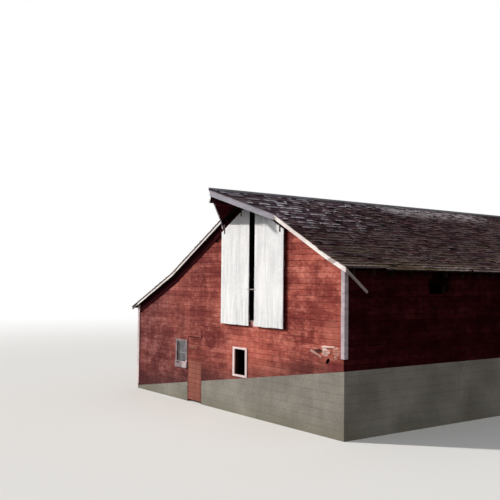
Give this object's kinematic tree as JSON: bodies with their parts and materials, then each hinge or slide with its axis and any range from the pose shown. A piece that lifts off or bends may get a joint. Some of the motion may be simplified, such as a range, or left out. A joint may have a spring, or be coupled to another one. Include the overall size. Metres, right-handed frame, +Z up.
{
  "type": "hay barn",
  "caption": "Hay barn on a bank: red siding, bell-cast shingle roof with a triangular hay hood, hay-door leaves, a stable storey, a loft and a walk door that opens.",
  "frame": {"origin": "on the ground, under the middle of the whole outline, hay hood and eaves included", "axes": "+X to the right across the front gable, +Y from the front gable to the rear along the ridge, +Z up"},
  "size_m": [9.518, 13.5483, 5.4982],
  "materials": {
    "concrete": null,
    "red_siding": "worn red paint over horizontal boards",
    "frame_timber": "sawn, unpainted",
    "roof_boards": "sawn, weathered",
    "dark_red_boards": "old red paint in shade",
    "shingles": "weathered wood shingles",
    "grey_white_boards": "thin grey-white paint",
    "white_trim": "worn white paint",
    "white_boards": "worn white paint on upright boards",
    "sash_paint": "worn white paint",
    "bare_wood": "bare grey wood",
    "iron": "rusty wrought iron",
    "glass": "old window glass, dusty"
  },
  "bodies": {
    "barn": {"foundation_front_left": "concrete", "foundation_front_right": "concrete", "foundation_right": "concrete", "foundation_rear": "concrete", "foundation_left": "concrete", "front_wall_left": "red_siding", "front_wall_over_door": "red_siding", "front_wall_middle": "red_siding", "front_wall_under_hay": "red_siding", "front_wall_right": "red_siding", "rear_wall": "red_siding", "left_wall": "red_siding", "right_wall": "red_siding", "loft_floor": "frame_timber", "loft_joists": "frame_timber", "loft_girders": "frame_timber", "loft_posts": "frame_timber", "loft_ledgers": "frame_timber", "rafters_left": "frame_timber", "rafters_right": "frame_timber", "ridge_board": "frame_timber", "roof_boards_left": "roof_boards", "roof_boards_right": "roof_boards", "shingles_left_upper": "shingles", "shingles_left_lower": "shingles", "shingles_right_upper": "shingles", "shingles_right_lower": "shingles", "ridge_cap": "shingles", "hood_boards": "dark_red_boards", "hood_fascia_left": "grey_white_boards", "hood_fascia_right": "grey_white_boards", "hay_track": "frame_timber", "rake_boards_front": "white_trim", "rake_boards_rear": "white_trim", "corner_boards_left": "white_trim", "corner_boards_right": "white_trim", "window_casings": "white_trim", "window_sashes": "sash_paint", "window_glass": "glass", "hay_door_left": "white_boards", "hay_door_right": "white_boards", "hay_door_rails": "dark_red_boards", "hay_door_hangers": "iron", "latch_bar": "bare_wood", "hay_sill": "red_siding", "walk_door_frame": "red_siding", "walk_door_pintles": "iron", "loose_eave_board": "bare_wood"},
    "walk_door": {"walk_door": "red_siding", "walk_door_straps": "iron"}
  },
  "joints": [
    {"name": "walk_door_hinge", "type": "hinge", "parent": "barn", "child": "walk_door", "pos_m": [-1.634, -5.57063, 0.9], "axis": [0, 0, -1], "range_deg": [0, 120]}
  ]
}
